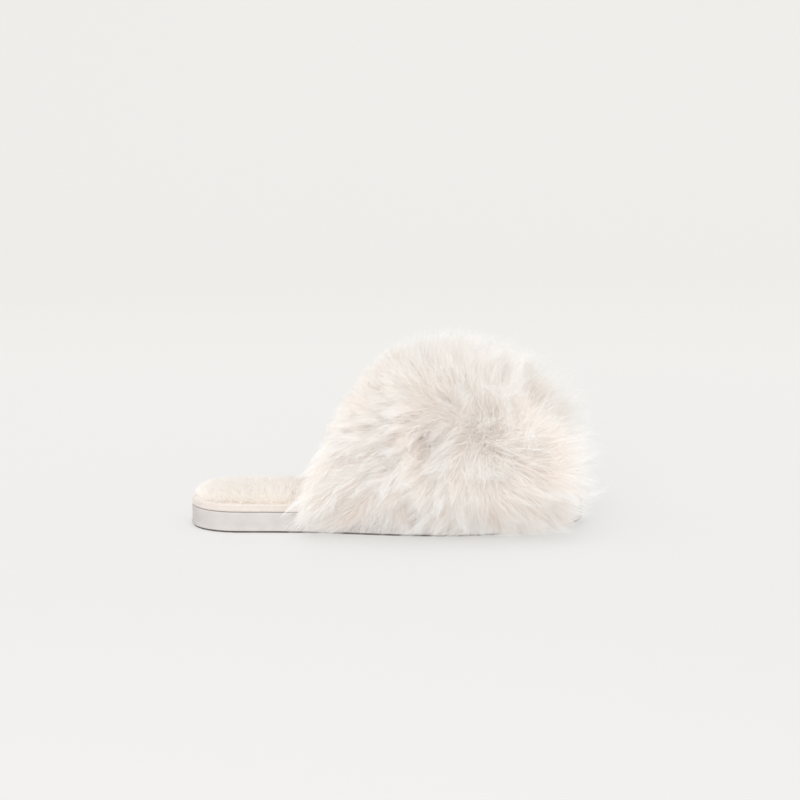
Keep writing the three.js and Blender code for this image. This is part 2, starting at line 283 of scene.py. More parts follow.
class Shader:
    """A material's node tree, with short calls for the nodes used here."""

    def __init__(self, name, roughness=0.8, sheen=0.0):
        self.material = bpy.data.materials.new(name)
        self.material.use_nodes = True
        self.nodes = self.material.node_tree.nodes
        self.links = self.material.node_tree.links
        self.base = self.nodes["Principled BSDF"]
        self.base.inputs["Roughness"].default_value = roughness
        self.base.inputs["Sheen Weight"].default_value = sheen
        self.base.inputs["Sheen Roughness"].default_value = 0.5
        self.base.inputs["Specular IOR Level"].default_value = 0.3

    def add(self, kind, **settings):
        node = self.nodes.new(kind)
        for key, value in settings.items():
            setattr(node, key, value)
        return node

    def join(self, output, target):
        self.links.new(output, target)

    def place(self):
        """Position in the object's own space."""
        return self.add("ShaderNodeTexCoord").outputs["Object"]

    def noise(self, scale, detail):
        node = self.add("ShaderNodeTexNoise")
        node.inputs["Scale"].default_value = scale
        node.inputs["Detail"].default_value = detail
        self.join(self.place(), node.inputs["Vector"])
        return node.outputs["Fac"]

    def ramp(self, factor, stops):
        node = self.add("ShaderNodeValToRGB")
        ramp = node.color_ramp
        while len(ramp.elements) < len(stops):
            ramp.elements.new(0.5)
        for element, (position, colour) in zip(ramp.elements, stops):
            element.position = position
            element.color = colour
        self.join(factor, node.inputs["Fac"])
        return node.outputs["Color"]

    def multiply(self, first, second):
        node = self.add("ShaderNodeMix", data_type="RGBA", blend_type="MULTIPLY")
        node.inputs["Factor"].default_value = 1.0
        sockets = [s for s in node.inputs if s.type == "RGBA"]
        for socket, value in zip(sockets, (first, second)):
            self.join(value, socket)
        return next(s for s in node.outputs if s.type == "RGBA")

    def bump(self, height, distance, strength, below=None):
        node = self.add("ShaderNodeBump")
        node.inputs["Strength"].default_value = strength
        node.inputs["Distance"].default_value = distance
        self.join(height, node.inputs["Height"])
        if below is not None:
            self.join(below, node.inputs["Normal"])
        return node.outputs["Normal"]

    def colour(self, output):
        self.join(output, self.base.inputs["Base Color"])

    def normal(self, output):
        self.join(output, self.base.inputs["Normal"])


def foam_material():
    """Closed-cell sole foam: faint mottling and a fine pebbled skin."""
    s = Shader("midsole_foam", roughness=0.62)
    mottle = s.noise(90, 3)
    s.colour(s.ramp(mottle, [(0.3, srgb(192, 187, 184)), (0.7, srgb(202, 197, 195))]))
    pebble = s.bump(s.noise(1400, 2), 0.00012, 0.6)
    s.normal(s.bump(s.noise(220, 2), 0.0002, 0.35, pebble))
    return s.material


def rubber_material():
    s = Shader("outsole_rubber", roughness=0.7)
    s.colour(s.ramp(s.noise(160, 4), [(0.3, srgb(84, 77, 73)), (0.75, srgb(112, 103, 98))]))
    s.normal(s.bump(s.noise(1800, 2), 0.00008, 0.5))
    return s.material


def binding_material():
    """Brushed cotton strip: fine diagonal weave and a soft nap."""
    s = Shader("binding_fabric", roughness=0.85, sheen=0.4)
    tone = s.ramp(s.noise(120, 4), [(0.3, srgb(211, 201, 193)), (0.75, srgb(221, 212, 205))])
    s.colour(tone)
    weave = s.add("ShaderNodeTexWave", wave_type="BANDS", bands_direction="DIAGONAL")
    weave.inputs["Scale"].default_value = 900
    weave.inputs["Distortion"].default_value = 1.5
    s.join(s.place(), weave.inputs["Vector"])
    woven = s.bump(weave.outputs["Fac"], 0.0001, 0.5)
    s.normal(s.bump(s.noise(700, 3), 0.0002, 0.5, woven))
    return s.material


def cloth_material(name, dark, light, scale=900):
    """A knitted cloth with loops in rows, used for linings and grounds."""
    s = Shader(name, roughness=0.9, sheen=0.3)
    s.colour(s.ramp(s.noise(140, 5), [(0.3, dark), (0.72, light)]))
    rows = s.add("ShaderNodeTexWave", wave_type="BANDS", bands_direction="X")
    rows.inputs["Scale"].default_value = scale
    rows.inputs["Distortion"].default_value = 2.5
    rows.inputs["Detail"].default_value = 2.0
    s.join(s.place(), rows.inputs["Vector"])
    knit = s.bump(rows.outputs["Fac"], 0.00015, 0.5)
    s.normal(s.bump(s.noise(1500, 3), 0.00015, 0.6, knit))
    return s.material


def board_material():
    s = Shader("fibre_board", roughness=0.9)
    s.colour(s.ramp(s.noise(400, 5), [(0.3, srgb(160, 132, 96)), (0.7, srgb(198, 172, 132))]))
    s.normal(s.bump(s.noise(1200, 3), 0.0001, 0.5))
    return s.material


def sponge_material():
    s = Shader("padding_foam", roughness=0.95)
    s.colour(s.ramp(s.noise(500, 4), [(0.3, srgb(232, 226, 210)), (0.7, srgb(245, 241, 230))]))
    s.normal(s.bump(s.noise(2500, 2), 0.0002, 0.8))
    return s.material


HAIR_COLUMNS = 32  # shades of hair, side by side in the UV map


def hair_material(name, root, middle, tip, dark, translucency, levels):
    """Hair coloured along its length by v and from strand to strand by u of its UV map."""
    s = Shader(name, roughness=0.66, sheen=0.1)
    place = s.add("ShaderNodeUVMap", uv_map="OFBake")
    parts = s.add("ShaderNodeSeparateXYZ")
    s.join(place.outputs["UV"], parts.inputs["Vector"])
    light = s.ramp(parts.outputs["Y"], list(zip(levels, (root, middle, tip))))
    tones = [(0.0, dark), (0.45, srgb(253, 250, 247)), (1.0, srgb(255, 255, 255))]
    shade = s.ramp(parts.outputs["X"], tones)
    colour = s.multiply(light, shade)
    s.colour(colour)
    glow = s.add("ShaderNodeBsdfTranslucent")
    s.join(colour, glow.inputs["Color"])
    both = s.add("ShaderNodeMixShader")
    both.inputs["Fac"].default_value = translucency
    s.join(s.base.outputs["BSDF"], both.inputs[1])
    s.join(glow.outputs["BSDF"], both.inputs[2])
    s.join(both.outputs["Shader"], s.nodes["Material Output"].inputs["Surface"])
    return s.material


# ---- hair ----

PIECE_TRIANGLES = 190000  # the most in one piece of fur


def nearest(points, centres):
    """For each point, the number of the nearest centre."""
    tree = KDTree(len(centres))
    for number, centre in enumerate(centres.tolist()):
        tree.insert(centre, number)
    tree.balance()
    return np.array([tree.find(point)[1] for point in points.tolist()])


def bend(roots, first, last, lengths, steps, droop, wave, rng):
    """Curves that leave their roots along first and turn towards last, sagging by droop."""
    share = (np.arange(steps) + 0.5) / steps
    turn = smooth(share, -0.1, 0.75)[None, :, None]
    heading = first[:, None] * (1 - turn) + last[:, None] * turn
    heading = heading + np.array([0, 0, -1.0]) * (droop[:, None] * share**1.5)[..., None]
    kinks = rng.normal(0, 1, (len(roots), 2, 3))
    phase = np.sin(np.pi * share[None, :, None] * 1.6 + 6.28 * rng.random((len(roots), 1, 1)))
    heading = heading + wave * (kinks[:, :1] * phase + kinks[:, 1:] * share[None, :, None])
    moves = unit(heading) * (lengths / steps)[:, None, None]
    return roots[:, None] + np.concatenate([np.zeros_like(moves[:, :1]), moves.cumsum(1)], 1)


LOCK_WIDTH = 0.08  # of a gathered lock, as a share of the width that it is drawn from


def gather(curves, guides, owner, strength, power):
    """Draws each curve towards its lock's guide, more and more to the tip."""
    share = np.linspace(0, 1, curves.shape[1])[None, :, None] ** power
    offset = curves[:, :1] - guides[owner][:, :1]
    target = guides[owner] + offset * LOCK_WIDTH
    return mix(curves, target, share * strength[:, None, None])


def shortened(curves, shares):
    """Scales each curve about its root."""
    root = curves[:, :1]
    return root + (curves - root) * shares[:, None, None]


FOOTBED_CLEARANCE = 24.0  # height below which hair is kept out of the sole's plan
SIDE_STRIP = 9.0  # hair this near the sole's side is moved out past it
FLOOR_START = 5.0  # height below which hair is bent away from the floor
FLOOR_GAP = 0.6


def stay_clear(curves):
    """Keeps hair off the floor and out of the sole."""
    x, y, z = curves[..., 0], curves[..., 1], curves[..., 2]
    inside = np.clip(x, 2, SOLE_LENGTH - 2)
    side = np.sign(y - centre_at(inside))
    room = np.abs(y - centre_at(inside)) - half_width_at(inside) - 0.6
    over_plan = (x > 0) & (x < SOLE_LENGTH) & (room < 0)
    bed = FOOTBED_CLEARANCE + spring_at(x)
    low = over_plan & (z < bed)
    aside = low & (room > -SIDE_STRIP)
    y = np.where(aside, y - side * room, y)
    z = np.where(low & ~aside, bed + 0.15 * (z - bed), z)
    soft = FLOOR_START - FLOOR_GAP
    z = np.where(z < FLOOR_START, FLOOR_GAP + soft * np.exp((z - FLOOR_START) / soft), z)
    return np.stack([x, y, z], -1)


def ribbon_pieces(name, curves, outward, widths, tones, material, rng, roll=0.6):
    """Flat tapering hairs facing outward, split into pieces of a bounded number of triangles."""
    steps = curves.shape[1] - 1
    chunk = PIECE_TRIANGLES // (2 * steps - 1)
    made = []
    for number, start in enumerate(range(0, len(curves), chunk)):
        part = slice(start, start + chunk)
        part_name = f"{name}_{number + 1}"
        shape = (curves[part], outward[part], widths[part], tones[part])
        made.append(ribbon_mesh(part_name, *shape, material, rng, roll))
    return made


def ribbon_mesh(name, curves, outward, widths, tones, material, rng, roll):
    """One mesh of hairs: each is a strip of quads that ends in a triangle."""
    count, points = curves.shape[:2]
    steps = points - 1
    tangent = unit(np.gradient(curves, axis=1))
    across = unit(np.cross(tangent, outward[:, None]))
    facing = unit(np.cross(across, tangent))
    angle = rng.normal(0, roll, (count, 1, 1))
    across = across * np.cos(angle) + facing * np.sin(angle)
    share = np.linspace(0, 1, points)
    taper = np.minimum(1, 0.55 + 2 * share) * (1 - share**2.2)
    half = 0.5 * widths[:, None, None] * taper[None, :, None]
    left, right = curves - across * half, curves + across * half
    body = np.stack([left[:, :-1], right[:, :-1]], 2).reshape(count, 2 * steps, 3)
    vertices = np.concatenate([body, curves[:, -1:]], 1).reshape(-1, 3)

    base = (np.arange(count) * (2 * steps + 1))[:, None, None]
    rows = np.arange(steps - 1)[None, :, None] * 2
    quads = (base + rows + np.array([0, 1, 3, 2])).reshape(count, -1)
    tips = (base[:, 0] + np.array([2 * steps - 2, 2 * steps - 1, 2 * steps])).reshape(count, 3)
    loops = np.concatenate([quads, tips], 1)
    sizes = np.tile(np.array([4] * (steps - 1) + [3]), count)
    starts = np.concatenate([[0], np.cumsum(sizes)[:-1]])

    column = (np.floor(tones * HAIR_COLUMNS).clip(0, HAIR_COLUMNS - 1) + 0.5) / HAIR_COLUMNS
    wide = 0.35 / HAIR_COLUMNS
    sides = np.array([-wide, wide] * steps + [0.0])
    heights = np.append(np.repeat(share[:-1], 2), 1.0)
    u = column[:, None] + sides[None]
    v = np.broadcast_to(0.02 + 0.96 * heights, u.shape)
    uv = np.stack([u, v], -1).reshape(-1, 2)

    mesh = bpy.data.meshes.new(name)
    mesh.vertices.add(len(vertices))
    mesh.vertices.foreach_set("co", to_row(vertices).astype(np.float32).ravel())
    mesh.loops.add(loops.size)
    mesh.loops.foreach_set("vertex_index", loops.astype(np.int32).ravel())
    mesh.polygons.add(len(sizes))
    mesh.polygons.foreach_set("loop_start", starts.astype(np.int32))
    layer = mesh.uv_layers.new(name="OFBake")
    layer.data.foreach_set("uv", uv[loops.ravel()].astype(np.float32).ravel())
    mesh.update(calc_edges=True)
    return new_object(name, mesh, material)


# ---- how the long fur lies ----

FUR_LENGTH = 43.0
HOLLOWS = ((160.0, 43.0), (166.0, 50.0))  # x, and millimetres up the side, of two thin spots
HOLLOW_LENGTH = 0.32  # of the hair's usual length, at their middles
HOLLOW_EDGE = (1.0, 9.0)
WHORL = (194.0, 46.0)  # where it turns round a whorl
CREST_PARTING = 162.0  # x on the crest where fur starts to be combed forwards
ARC = 200.0  # length of the way over the foot
WHORL_TURN = 1.3  # how much fur near the whorl runs round it, against away from it
WHORL_REACH = 34.0
WHORL_CORE = 18.0  # where it grows closest together and most unevenly
WHORL_COMB = 0.72  # how flat fur is combed at the whorl's middle, against 1 elsewhere
CALM = (66.0, 99.0)  # up the side; past these heights hair is hardly combed sideways

HEART = np.array([165.0, 2.0, 30.0])  # the middle of the fur
SPREAD = 84.0  # how far the fur reaches to either side of it
TOE_HEM = 17.0  # how much higher the fur's lower edge is in front of the toe
HEM_WIDTH = 0.68  # the share of its width that is left at the floor
ROUNDNESS = (4.5, 2.2)  # of its outline seen from above, low down and at the top
REACH = (  # degrees up from straight ahead, and how far the fur's outline lies from its heart
    (-60, 86), (-35, 85), (-20, 88), (-12, 94), (3, 107), (17, 113), (33, 114), (50, 106), (61, 98),
    (75, 97), (88, 102), (99, 99), (109, 96), (123, 88), (138, 87), (150, 87), (163, 88), (171, 92),
    (181, 103), (189, 114), (196, 120), (215, 112), (240, 100),
)


def height_along(t):
    """How far t lies up the skin from the nearer of its two ends."""
    return np.minimum(t, 1 - t) * ARC


def from_whorl(x, up):
    """The way from the whorl, stretched towards the front so that fur there is combed ahead."""
    source = mix(WHORL[0], CREST_PARTING, smooth(up, 60, 90))
    return np.stack([(x - source) * (1 + 1.4 * smooth(x, 200, 224)), up - WHORL[1]], -1)


def comb_at(x, t):
    """Direction along the skin, as (forwards, towards the medial side), that fur is combed in."""
    up = height_along(t)
    to_medial = np.where(t < 0.5, 1.0, -1.0)
    away = from_whorl(x, up)
    span = np.linalg.norm(away, axis=-1, keepdims=True)
    around = np.stack([-away[..., 1], away[..., 0]], -1)
    turn = WHORL_TURN * bell(span, 0, WHORL_REACH) * (1 + 0.3 * smooth(away[..., :1], -10, 20))
    field = (away + turn * around) / (span + 2)
    # low down, hair beside the gap between the straps' ends is combed over that gap
    field[..., 0] += bell(up, 0, 30) * (1.1 * bell(x, 136, 12) - 0.8 * bell(x, 168, 14))
    field = unit(field) * mix(WHORL_COMB, 1.0, smooth(span, 2, 20))
    field[..., 1] *= (1 - 0.85 * smooth(up, *CALM)) * to_medial
    return field


def fur_length_at(x, t):
    """Hair's length: short in the thin spots, longer in front, at the heel end and far side."""
    up = height_along(t)
    from_hollow = np.minimum(*(np.hypot(x - a, up - b) for a, b in HOLLOWS))
    length = mix(HOLLOW_LENGTH, 1.0, smooth(from_hollow, *HOLLOW_EDGE))
    front = 0.3 * smooth(x, 190, 216) * (1 - smooth(up, 60, 90)) + 0.26 * smooth(x, 156, 182)
    heel = 0.18 * smooth(-x, -125, -100) * (1 - smooth(up, 20, 45))
    far = 0.34 * smooth(x, 158, 186) * smooth(t, 0.46, 0.6)
    return FUR_LENGTH * length * (1 + front + heel + far)


def outwardness(points):
    """How far out points lie: 0 at the fur's heart, 1 on its rounded outline."""
    out = points - HEART
    angle = np.degrees(np.arctan2(out[..., 2], out[..., 0]))
    angle = np.where(angle < -110, angle + 360, angle)
    reach = np.interp(angle, *zip(*REACH))
    flat = np.hypot(out[..., 0], out[..., 2]) / reach
    power = mix(*ROUNDNESS, smooth(np.sin(np.radians(angle)), 0.25, 0.9))
    return ((np.abs(out[..., 1]) / SPREAD) ** power + flat**power) ** (1 / power)


def tucked(curves):
    """Brings hair in towards the sole as it hangs down, so that the fur narrows to its hem."""
    tipward = smooth(np.linspace(0, 1, curves.shape[1]), 0, 0.7)
    narrow = mix(HEM_WIDTH, 1.0, smooth(curves[..., 2], -4, 40))
    off = curves[..., 1] - HEART[1]
    y = HEART[1] + off * mix(1.0, narrow, tipward)
    return np.stack([curves[..., 0], y, curves[..., 2]], -1)


OUTLINE_EDGE = (1.03, 0.05)  # where hair is cut off, and how unevenly; 1 is the outline
FAR_REAR_CUT = 0.14  # how much further in that is on the medial side's rear
HEM_SHAPE = (1.6, 1.2)  # of the gamma draw by which hems are uneven
HEM_DROP = 5.0  # how far the fur would hang past the floor
HEM_RISE = (224.0, 254.0)  # over these x the hem rises by TOE_HEM
SHORTEST = 0.62  # of its length, that a trimmed hair keeps


def trimmed(curves, rng):
    """Shortens hair that would reach past the fur's outline or below its hem."""
    count = len(curves)
    first, last = outwardness(curves[:, 0]), outwardness(curves[:, -1])
    edge = rng.normal(*OUTLINE_EDGE, count)
    far_rear = smooth(curves[:, 0, 1], 0, 20) * smooth(-curves[:, 0, 0], -170, -150)
    edge -= FAR_REAR_CUT * far_rear
    share = (edge - first) / np.maximum(last - first, 1e-6)
    share = np.where(last > edge, share, 1.0)
    hem = rng.gamma(*HEM_SHAPE, count) - HEM_DROP
    hem += TOE_HEM * smooth(curves[:, -1, 0], *HEM_RISE)
    fall = curves[:, 0, 2] - curves[:, -1, 2]
    to_hem = (curves[:, 0, 2] - hem) / np.maximum(fall, 1e-6)
    share = np.where(curves[:, -1, 2] < hem, np.minimum(share, to_hem), share)
    root = curves[:, :1]
    shortest = SHORTEST - FAR_REAR_CUT * far_rear
    return root + (curves - root) * share.clip(shortest, 1.0)[:, None, None]


PRESS_START = 0.82  # outwardness from which hair is bent in
PRESS_ROOM = 0.26  # and the most that it may still gain from there


def pressed(curves):
    """Bends hair that still stands out too far back towards the fur's outline."""
    share = outwardness(curves)
    inside = PRESS_START + PRESS_ROOM * np.tanh((share - PRESS_START) / PRESS_ROOM)
    scale = np.where(share > PRESS_START, inside / np.maximum(share, 1e-6), 1.0)
    return HEART + (curves - HEART) * scale[..., None]


TOP_BAND = (45.0, 92.0)  # up the side, over which hair turns from hanging to standing
HEM_BAND = (4.0, 26.0)  # up the side, over which it stops leaving its root downwards
TOE_BAND = (196.0, 224.0)  # x, over which it is laid flatter ahead
FLUFF = np.array([0.95, 0, 0.75])  # the way that hair stands in front, over and past the crest
FLUFF_BAND = (158.0, 190.0)  # x, over which that sets in
FUR_WAVE = 0.16
LENGTH_SPREAD = 0.14
ROOT_DEPTH = 0.3  # of a hair's root in the ground cloth


def fur_curves(strap, x, t, rng, steps, length_scale, stray):
    """The free-hanging shape of a hair at each (x, t) of a strap's skin."""
    forward, along, normal = instep_frame(x, t)
    comb = comb_at(x, t)
    up = height_along(t)
    comb = comb + rng.normal(0, stray, (len(x), 2)) * (1 + 1.6 * near_whorl(x, t))[:, None]
    tangent = forward * comb[:, :1] + along * comb[:, 1:]
    upright = (1 - np.linalg.norm(comb, axis=1)).clip(0, 1)
    top = smooth(up, *TOP_BAND)
    ahead = smooth(x, *TOE_BAND) * (1 - top)
    rise = (mix(0.62, 0.9, top) - 0.22 * ahead + 0.6 * upright)[:, None]
    low = 1 - smooth(up, *HEM_BAND)
    first = unit(normal * 1.2 + tangent * 0.75 - low[:, None] * np.array([0, 0, 0.7]))
    last = unit(tangent + normal * rise)
    fluffed = smooth(x, *FLUFF_BAND) * smooth(t, 0.22, 0.5) * smooth(-t, -0.94, -0.8)
    last = unit(last + fluffed[:, None] * FLUFF)
    uneven = rng.normal(1, LENGTH_SPREAD, len(x)).clip(0.6, 1.3)
    lengths = fur_length_at(x, t) * length_scale * uneven
    droop = mix(0.45, 0.12, top) * (1 - 0.55 * ahead) + 0.7 * low
    droop *= rng.uniform(0.6, 1.4, len(x))
    roots = strap.skin(x, t, GROUND[1] - ROOT_DEPTH)
    curves = bend(roots, first, last, lengths, steps, droop, FUR_WAVE, rng)
    return pressed(trimmed(tucked(curves), rng)), normal


def near_whorl(x, t):
    """1 at the whorl, falling off to 0 round it."""
    up = height_along(t)
    return bell(np.linalg.norm(from_whorl(x, up), axis=-1), 0, WHORL_CORE)


def scatter(strap, count, rng):
    """Random places on a strap's skin where it isn't covered, closest together at the whorl."""
    t = rng.uniform(0.035, 0.965, count * 4)
    x = mix(strap.rear(t), strap.front(t), rng.uniform(-0.03, 1.03, count * 4))
    kept = rng.random(count * 4) < mix(0.6, 1.0, near_whorl(x, t))
    if not strap.lifted:
        kept &= OVER.inside(x, t) < 1.5
    return x[kept][:count], t[kept][:count]


HAIR_STRAY = 0.22  # how much the combing differs from hair to hair
LOCK_STRAY = 0.36  # and from lock to lock
GUARD_SHARE = 0.07  # of hairs are thick guard hairs, drawn paler as a painted highlight along each
GUARD_WIDTH = 2.1
OUTER_HAIRS = 130000
UNDERFUR_HAIRS = 80000
UNDERFUR_LENGTH = 0.76  # of the outer hair's length
STRAP_SHARES = ((UNDER, 11, 0.38), (OVER, 12, 0.62))  # strap, seed, share of all hair
SKIN_AREA = 11000.0  # of one strap, in square millimetres
LOCK_LENGTHS = (0.77, 1.07)  # of whole locks, as shares of the hair's length there


def tufting(roots):
    """How much hair gathers in locks: most on the near side, little at the hem and the top."""
    y, z = roots[:, 1], roots[:, 2]
    above_hem = mix(0.5, 1.0, smooth(z, 12, 40))
    below_top = 1 - 0.45 * smooth(z, 62, 84)
    return above_hem * below_top * (1 - 0.35 * smooth(y, -5, 25))


def grow_fur(strap, count, seed, material, name, steps, length_scale, widths, lock_sizes):
    """Hair on one strap, gathered in locks of each (size, strength, power, weight of its tone)."""
    rng = np.random.default_rng(seed)
    x, t = scatter(strap, count, rng)
    curves, normal = fur_curves(strap, x, t, rng, steps, length_scale, HAIR_STRAY)
    tones = np.zeros(len(x))
    for size, strength, power, weight in lock_sizes:
        cx, ct = scatter(strap, int(SKIN_AREA / size**2), rng)
        guides, _ = fur_curves(strap, cx, ct, rng, steps, length_scale, LOCK_STRAY)
        owner = nearest(curves[:, 0], guides[:, 0])
        strengths = strength * rng.uniform(0.45, 1.2, len(x)) * tufting(curves[:, 0])
        curves = gather(curves, guides, owner, strengths.clip(0, 1), power)
        curves = shortened(curves, rng.uniform(*LOCK_LENGTHS, len(cx))[owner])
        tones += weight * rng.random(len(cx))[owner]
    tones = (tones + 0.3 * rng.random(len(x))).clip(0, 0.999)
    curves = stay_clear(curves)
    guard = rng.random(len(x)) < GUARD_SHARE
    width = rng.uniform(*widths, len(x)) * np.where(guard, GUARD_WIDTH, 1.0)
    # guard hairs drawn paler: painted highlight, fine bright lines over the fur
    tones = np.where(guard, 0.6 + 0.39 * tones, tones)
    return ribbon_pieces(name, curves, normal, width, tones, material, rng)


def long_fur():
    """The long outer hair and the shorter, softer hair below it, on both straps."""
    # the warmer roots lie deep in the fur where shade falls: partly the hair's own tint, partly a
    # painted warm tint for that shade
    outer = hair_material(
        "long_fur", srgb(255, 240, 230), srgb(254, 252, 250), srgb(252, 254, 255),
        srgb(254, 244, 239), 0.5, (0.0, 0.45, 0.85),
    )
    lower = hair_material(
        "under_fur", srgb(255, 239, 229), srgb(254, 251, 248), srgb(253, 254, 254),
        srgb(254, 245, 240), 0.5, (0.0, 0.4, 0.95),
    )
    locks = ((6.0, 0.2, 1.2, 0.2), (2.5, 1.0, 1.5, 0.55))
    wisps = ((2.5, 0.5, 1.2, 0.55),)
    scale = 1.0
    for strap, seed, share in STRAP_SHARES:
        grown = grow_fur(strap, int(OUTER_HAIRS * share * scale), seed, outer,
                         f"{strap.name}_fur", 6, 1.0, (0.13, 0.25), locks)
        grown += grow_fur(strap, int(UNDERFUR_HAIRS * share * scale), seed + 10, lower,
                          f"{strap.name}_underfur", 4, UNDERFUR_LENGTH, (0.2, 0.38), wisps)
        for piece in grown:
            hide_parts(f"{strap.name}_pile")


# ---- the straps' cloth ----


STRAP_ROWS = 90  # rings along a strap's layer, and points round each
STRAP_POINTS = 68
STRAP_TRIM = 0.03  # of a strap's length, that its foam and ground lack at each end
FOAM_INSET = 0.4  # of the foam's edges from the strap's


def strap_section(strap, t, low, high, width_in, count):
    """A closed ring round a strap's layer at t, with its two edges rounded off."""
    half = count // 2
    u = np.concatenate([np.linspace(0, 1, half), np.linspace(1, 0, half)])
    level = np.repeat([high, low], half)
    middle, thick = (low + high) / 2, (high - low) / 2
    from_edge = np.minimum(u, 1 - u) * (strap.front(t) - strap.rear(t))
    round_off = np.sqrt(np.clip(from_edge / max(thick, 0.45), 0, 1))
    offset = middle + (level - middle) * round_off
    x = mix(strap.rear(t) + width_in, strap.front(t) - width_in, u)
    return strap.skin(x, np.full(count, t), offset)


def strap_layer(strap, part, levels, trim, material, width_in=0.0):
    """One layer of a strap, from t = trim to 1 - trim."""
    rings = []
    for t in np.linspace(trim, 1 - trim, STRAP_ROWS):
        rings.append(strap_section(strap, t, *levels, width_in, STRAP_POINTS))
    piece = tube_piece(f"{strap.name}_{part}_cloth", rings, material)
    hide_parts(f"{strap.name}_{part}")
    return piece


STITCH_INSET = 4.0  # from a strap's edge
STITCH_PITCH = 4.2
STITCH_LENGTH = 3.1
THREAD_RADIUS = 0.28


def stitch_rows(strap, material):
    """Lockstitches along both edges of a strap's lining, on the side that faces the foot."""
    points, faces = [], []
    ts = np.linspace(0.05, 0.95, 400)
    for edge, inward in ((strap.rear, 1), (strap.front, -1)):
        x = edge(ts) + inward * STITCH_INSET
        line = strap.skin(x, ts, np.full(len(ts), LINING[0] - 0.1))
        run = np.concatenate([[0], np.linalg.norm(np.diff(line, axis=0), axis=1).cumsum()])
        for start in np.arange(2.0, run[-1] - 4.0, STITCH_PITCH):
            stops = np.linspace(start, start + STITCH_LENGTH, 6)
            spine = np.stack([np.interp(stops, run, line[:, axis]) for axis in range(3)], -1)
            thread(points, faces, spine, THREAD_RADIUS)
    return surface_piece(f"{strap.name}_stitches", np.array(points), faces, material)


def thread(points, faces, spine, radius, sides=6):
    """Adds a short round thread with tapered ends to a list of points and faces."""
    axis = unit(spine[-1] - spine[0])
    one = unit(np.cross(axis, [0.13, 0.29, 0.95]))
    two = np.cross(axis, one)
    base = len(points)
    for number, centre in enumerate(spine):
        girth = radius * math.sin(math.pi * (number + 0.35) / (len(spine) - 0.3)) ** 0.5
        for corner in range(sides):
            angle = 2 * math.pi * corner / sides
            out = one * math.cos(angle) + two * math.sin(angle)
            points.append(centre + girth * out)
    faces += [tuple(base + i for i in face) for face in ring_faces(len(spine), sides)]
    last = base + (len(spine) - 1) * sides
    faces.append(tuple(reversed(range(base, base + sides))))
    faces.append(tuple(range(last, last + sides)))


def straps():
    """The linings, foams and ground cloths of both straps, with their stitching."""
    lining = cloth_material("lining_fabric", srgb(232, 214, 200), srgb(246, 235, 225))
    ground = cloth_material("fur_ground", srgb(240, 212, 190), srgb(250, 228, 210), 700)
    sponge = sponge_material()
    cotton = cloth_material("sewing_thread", srgb(236, 224, 212), srgb(250, 242, 234), 1500)
    for strap in (UNDER, OVER):
        inner = strap_layer(strap, "lining", LINING, 0.0, lining)
        padding = strap_layer(strap, "foam", STRAP_FOAM, STRAP_TRIM, sponge, FOAM_INSET)
        outer = strap_layer(strap, "ground", GROUND, STRAP_TRIM, ground)
        stitch_rows(strap, cotton)


# ---- the sole ----

LOOP = 360
POCKET_ROOM = 0.6  # round a strap's margin


def sole_ring(inset, height):
    loop = sole_loop(LOOP, inset)
    z = np.full(LOOP, float(height)) + spring_at(loop[:, 0])
    return np.column_stack([loop, z])


def midsole():
    """The foam wedge, with a pocket in its top edge for each tucked strap margin."""
    # inset from the sole's side, and height; a thin lip covers the outsole's top edge
    profile = [(20, MIDSOLE_BOTTOM), (-0.05, MIDSOLE_BOTTOM), (-0.05, 1.3), (-0.3, 1.3)]
    profile += [(-0.35, 1.6), (-0.3, 2.4)] + [(0.0, z) for z in np.linspace(4.0, 12.0, 8)]
    profile += [(0.03, 12.85), (0.18, 13.18), (0.55, MIDSOLE_TOP), (14.4, MIDSOLE_TOP)]
    profile += [(14.6, MIDSOLE_TOP), (20, MIDSOLE_TOP)]
    rings = []
    for inset, height in profile:
        ring = sole_ring(inset, height)
        if height > MARGIN_BOTTOM - POCKET_ROOM and inset < MARGIN_DEPTH + 0.5:
            x = ring[:, 0]
            at_margin = np.zeros(LOOP, bool)
            for low, high in (REAR_END, FRONT_END):
                at_margin |= (x > low - POCKET_ROOM) & (x < high + POCKET_ROOM)
            pocket = MARGIN_BOTTOM - POCKET_ROOM + spring_at(x)
            ring[:, 2] = np.where(at_margin, pocket, ring[:, 2])
        rings.append(ring)
    piece = tube_piece("midsole_wedge", rings, foam_material())
    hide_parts("midsole")


BINDING_POINTS = 520  # round the binding
SEWN_GROOVE = (16.2, 16.8)  # heights between which the puckers are pulled flat


